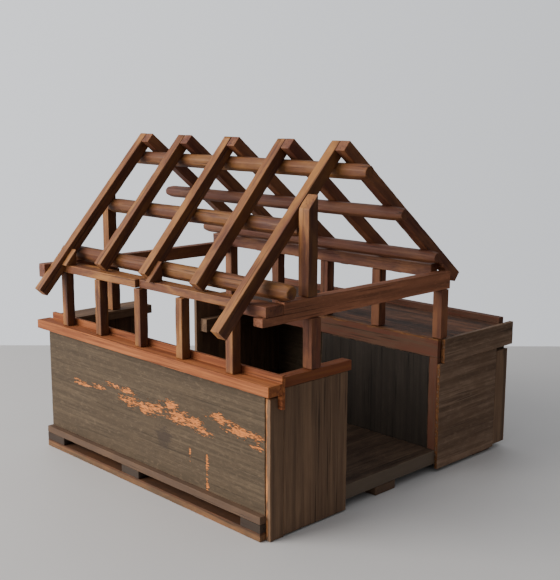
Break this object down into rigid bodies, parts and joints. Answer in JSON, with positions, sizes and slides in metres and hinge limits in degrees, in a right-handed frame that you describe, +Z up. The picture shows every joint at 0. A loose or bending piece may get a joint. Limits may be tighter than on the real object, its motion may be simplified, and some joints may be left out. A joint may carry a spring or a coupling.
{
  "type": "wooden toy barn",
  "caption": "Open wooden toy barn on runners: side bays beside a drive-through passage, a loft deck and bare roof timbers with rafters and poles.",
  "frame": {"origin": "bottom centre of the whole barn's bounding box, on the surface it stands on", "axes": "+X to the right seen from the front, +Y from the open front towards the back, +Z up"},
  "size_m": [0.424, 0.391, 0.357],
  "materials": {
    "oiled_roof_timber": "satin",
    "bare_reddish_wood": "satin",
    "grey_brown_wall_wood": "matte",
    "dark_stained_board": "satin",
    "floor_board_wood": "matte"
  },
  "bodies": {
    "root": {"back_gable_post": "oiled_roof_timber", "back_ledger": "dark_stained_board", "back_left_panel": "dark_stained_board", "back_left_rail": "dark_stained_board", "back_queen_post": "oiled_roof_timber", "back_right_panel": "dark_stained_board", "back_tie_beam": "oiled_roof_timber", "door_post": "dark_stained_board", "floor_board": "floor_board_wood", "front_jamb_post": "oiled_roof_timber", "front_left_corner_board": "bare_reddish_wood", "front_left_panel": "dark_stained_board", "front_left_rail": "bare_reddish_wood", "front_queen_post": "oiled_roof_timber", "front_right_header": "dark_stained_board", "front_right_panel": "dark_stained_board", "front_tie_beam": "oiled_roof_timber", "left_batten": "bare_reddish_wood", "left_inner_rail": "bare_reddish_wood", "left_plate_back": "oiled_roof_timber", "left_plate_end_block": "oiled_roof_timber", "left_plate_front": "oiled_roof_timber", "left_post_1": "oiled_roof_timber", "left_post_2": "oiled_roof_timber", "left_post_3": "oiled_roof_timber", "left_post_4": "oiled_roof_timber", "left_post_5": "oiled_roof_timber", "left_rafter_1": "oiled_roof_timber", "left_rafter_2": "oiled_roof_timber", "left_rafter_3": "oiled_roof_timber", "left_rafter_4": "oiled_roof_timber", "left_rafter_5": "oiled_roof_timber", "left_runner_blocks": "grey_brown_wall_wood", "left_runner_lower_strip": "grey_brown_wall_wood", "left_runner_upper_strip": "grey_brown_wall_wood", "left_wall": "grey_brown_wall_wood", "loft_deck": "floor_board_wood", "lower_left_purlin": "oiled_roof_timber", "lower_right_purlin": "oiled_roof_timber", "middle_left_purlin": "oiled_roof_timber", "middle_right_purlin": "oiled_roof_timber", "middle_runner": "grey_brown_wall_wood", "partition_panel": "dark_stained_board", "passage_rail": "bare_reddish_wood", "ridge_purlin": "oiled_roof_timber", "right_corner_board": "dark_stained_board", "right_outer_rail": "dark_stained_board", "right_plate": "oiled_roof_timber", "right_post_1": "oiled_roof_timber", "right_post_2": "oiled_roof_timber", "right_post_3": "oiled_roof_timber", "right_post_4": "oiled_roof_timber", "right_post_5": "oiled_roof_timber", "right_rafter_1": "oiled_roof_timber", "right_rafter_2": "oiled_roof_timber", "right_rafter_3": "oiled_roof_timber", "right_rafter_4": "oiled_roof_timber", "right_rafter_5": "oiled_roof_timber", "right_runner": "grey_brown_wall_wood", "right_wall": "grey_brown_wall_wood"}
  },
  "joints": []
}
